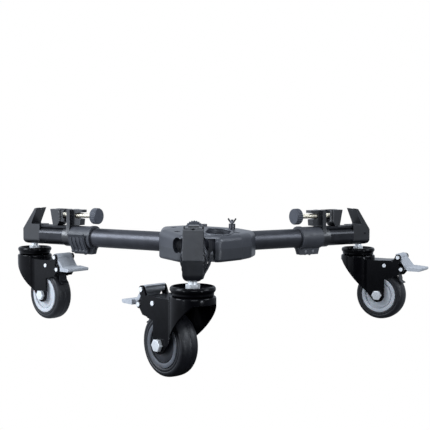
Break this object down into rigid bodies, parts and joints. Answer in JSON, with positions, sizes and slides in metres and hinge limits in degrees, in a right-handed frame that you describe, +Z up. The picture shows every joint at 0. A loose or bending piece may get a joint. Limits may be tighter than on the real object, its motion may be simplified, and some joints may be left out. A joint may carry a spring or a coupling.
{
  "type": "tripod dolly",
  "caption": "Y-shaped folding dolly for a camera tripod: telescoping arms with flip locks, screw-down foot clamps and braked swivel casters",
  "frame": {"origin": "on the floor, in the middle of the footprint; the hub axis stands at x -37 mm, y 72.5 mm", "axes": "+Z up, -Y along the front arm, +X to the right seen from the front"},
  "size_m": [0.6292, 0.487, 0.1707],
  "materials": {
    "hub_paint": "satin charcoal paint over die-cast aluminium",
    "tube_black": "satin black anodising",
    "dark_steel": "dark zinc plating",
    "lock_plastic": "fine-textured black nylon",
    "screw_brass": "bright pale brass",
    "knob_plastic": "slate-black plastic",
    "zinc": "bright zinc plating",
    "fork_black": "gloss black enamel",
    "pedal_zinc": "pale zinc plating",
    "core_grey": "light grey moulded nylon",
    "tyre_black": "satin black rubber"
  },
  "bodies": {
    "hub": {"hub_upper": "hub_paint", "hub_lower": "hub_paint", "hub_screws": "dark_steel", "pivot_left": "dark_steel", "pivot_right": "dark_steel", "arm_tube_front": "tube_black", "collar_front": "lock_plastic", "clamp_bolt_front": "dark_steel"},
    "lock_nut": {"wing_nut": "dark_steel"},
    "lever_front": {"lever_front": "lock_plastic"},
    "extension_front": {"rail_front": "tube_black", "end_cap_front": "hub_paint", "bracket_front": "hub_paint", "stem_front": "zinc", "top_race_front": "fork_black"},
    "jaw_front": {"jaw_front": "hub_paint"},
    "screw_front": {"thumb_screw_front": "screw_brass", "knob_front": "knob_plastic"},
    "fork_front": {"fork_front": "fork_black", "axle_front": "zinc", "brake_pins_front": "zinc"},
    "wheel_front": {"wheel_core_front": "core_grey", "tyre_front": "tyre_black"},
    "pedal_front": {"brake_pedal_front": "pedal_zinc"},
    "arm_left": {"arm_tube_left": "tube_black", "collar_left": "lock_plastic", "clamp_bolt_left": "dark_steel"},
    "lever_left": {"lever_left": "lock_plastic"},
    "extension_left": {"rail_left": "tube_black", "end_cap_left": "hub_paint", "bracket_left": "hub_paint", "stem_left": "zinc", "top_race_left": "fork_black"},
    "jaw_left": {"jaw_left": "hub_paint"},
    "screw_left": {"thumb_screw_left": "screw_brass", "knob_left": "knob_plastic"},
    "fork_left": {"fork_left": "fork_black", "axle_left": "zinc", "brake_pins_left": "zinc"},
    "wheel_left": {"wheel_core_left": "core_grey", "tyre_left": "tyre_black"},
    "pedal_left": {"brake_pedal_left": "pedal_zinc"},
    "arm_right": {"arm_tube_right": "tube_black", "collar_right": "lock_plastic", "clamp_bolt_right": "dark_steel"},
    "lever_right": {"lever_right": "lock_plastic"},
    "extension_right": {"rail_right": "tube_black", "end_cap_right": "hub_paint", "bracket_right": "hub_paint", "stem_right": "zinc", "top_race_right": "fork_black"},
    "jaw_right": {"jaw_right": "hub_paint"},
    "screw_right": {"thumb_screw_right": "screw_brass", "knob_right": "knob_plastic"},
    "fork_right": {"fork_right": "fork_black", "axle_right": "zinc", "brake_pins_right": "zinc"},
    "wheel_right": {"wheel_core_right": "core_grey", "tyre_right": "tyre_black"},
    "pedal_right": {"brake_pedal_right": "pedal_zinc"}
  },
  "joints": [
    {"name": "lock_nut_turn", "type": "hinge", "parent": "hub", "child": "lock_nut", "pos_m": [0.01453, 0.10225, 0.153], "axis": [0, 0, 1], "range_deg": [0, 360]},
    {"name": "flip_lock_front", "type": "hinge", "parent": "hub", "child": "lever_front", "pos_m": [-0.0278, -0.1195, 0.1064], "axis": [0, 1, 0], "range_deg": [0, 90]},
    {"name": "telescope_front", "type": "slide", "parent": "hub", "child": "extension_front", "axis": [0, -1, 0], "range_m": [0, 0.085]},
    {"name": "jaw_slide_front", "type": "slide", "parent": "extension_front", "child": "jaw_front", "axis": [0, -1, 0], "range_m": [-0.004, 0.016]},
    {"name": "screw_turn_front", "type": "hinge", "parent": "jaw_front", "child": "screw_front", "pos_m": [-0.037, -0.1275, 0.1587], "axis": [0, -1, 0], "range_deg": [-1152, 4608]},
    {"name": "caster_swivel_front", "type": "hinge", "parent": "extension_front", "child": "fork_front", "pos_m": [-0.037, -0.2175, 0.092], "axis": [0, 0, 1], "continuous": true},
    {"name": "wheel_spin_front", "type": "hinge", "parent": "fork_front", "child": "wheel_front", "pos_m": [-0.06259, -0.18754, 0.0375], "axis": [-0.7604, -0.6494, 0], "continuous": true},
    {"name": "brake_front", "type": "hinge", "parent": "fork_front", "child": "pedal_front", "pos_m": [-0.0835, -0.16306, 0.097], "axis": [-0.7604, -0.6494, 0], "range_deg": [0, 10]},
    {"name": "arm_fold_left", "type": "hinge", "parent": "hub", "child": "arm_left", "pos_m": [-0.06818, 0.0905, 0.1265], "axis": [0, 0, -1], "range_deg": [0, 50]},
    {"name": "flip_lock_left", "type": "hinge", "parent": "arm_left", "child": "lever_left", "pos_m": [-0.20788, 0.16053, 0.1064], "axis": [0.866, -0.5, 0], "range_deg": [0, 90]},
    {"name": "telescope_left", "type": "slide", "parent": "arm_left", "child": "extension_left", "axis": [-0.866, 0.5, 0], "range_m": [0, 0.085]},
    {"name": "jaw_slide_left", "type": "slide", "parent": "extension_left", "child": "jaw_left", "axis": [-0.866, 0.5, 0], "range_m": [-0.004, 0.016]},
    {"name": "screw_turn_left", "type": "hinge", "parent": "jaw_left", "child": "screw_left", "pos_m": [-0.21021, 0.1725, 0.1587], "axis": [-0.866, 0.5, 0], "range_deg": [-1152, 4608]},
    {"name": "caster_swivel_left", "type": "hinge", "parent": "extension_left", "child": "fork_left", "pos_m": [-0.28815, 0.2175, 0.092], "axis": [0, 0, 1], "continuous": true},
    {"name": "wheel_spin_left", "type": "hinge", "parent": "fork_left", "child": "wheel_left", "pos_m": [-0.25971, 0.19023, 0.0375], "axis": [0.6921, 0.7218, 0], "continuous": true},
    {"name": "brake_left", "type": "hinge", "parent": "fork_left", "child": "pedal_left", "pos_m": [-0.23647, 0.16794, 0.097], "axis": [0.6921, 0.7218, 0], "range_deg": [0, 10]},
    {"name": "arm_fold_right", "type": "hinge", "parent": "hub", "child": "arm_right", "pos_m": [0.01453, 0.10225, 0.1265], "axis": [0, 0, 1], "range_deg": [0, 50]},
    {"name": "flip_lock_right", "type": "hinge", "parent": "arm_right", "child": "lever_right", "pos_m": [0.12468, 0.17647, 0.1064], "axis": [-0.866, -0.5, 0], "range_deg": [0, 90]},
    {"name": "telescope_right", "type": "slide", "parent": "arm_right", "child": "extension_right", "axis": [0.866, 0.5, 0], "range_m": [0, 0.085]},
    {"name": "jaw_slide_right", "type": "slide", "parent": "extension_right", "child": "jaw_right", "axis": [0.866, 0.5, 0], "range_m": [-0.004, 0.016]},
    {"name": "screw_turn_right", "type": "hinge", "parent": "jaw_right", "child": "screw_right", "pos_m": [0.1362, 0.1725, 0.1587], "axis": [0.866, 0.5, 0], "range_deg": [-1152, 4608]},
    {"name": "caster_swivel_right", "type": "hinge", "parent": "extension_right", "child": "fork_right", "pos_m": [0.21415, 0.2175, 0.092], "axis": [0, 0, 1], "continuous": true},
    {"name": "wheel_spin_right", "type": "hinge", "parent": "fork_right", "child": "wheel_right", "pos_m": [0.24745, 0.19645, 0.0375], "axis": [0.5344, 0.8453, 0], "continuous": true},
    {"name": "brake_right", "type": "hinge", "parent": "fork_right", "child": "pedal_right", "pos_m": [0.27467, 0.17924, 0.097], "axis": [0.5344, 0.8453, 0], "range_deg": [0, 10]}
  ],
  "couplings": [
    {"joint": "screw_turn_front", "follows": "jaw_slide_front", "rad_per_m": 5026.5},
    {"joint": "screw_turn_left", "follows": "jaw_slide_left", "rad_per_m": 5026.5},
    {"joint": "screw_turn_right", "follows": "jaw_slide_right", "rad_per_m": 5026.5}
  ]
}
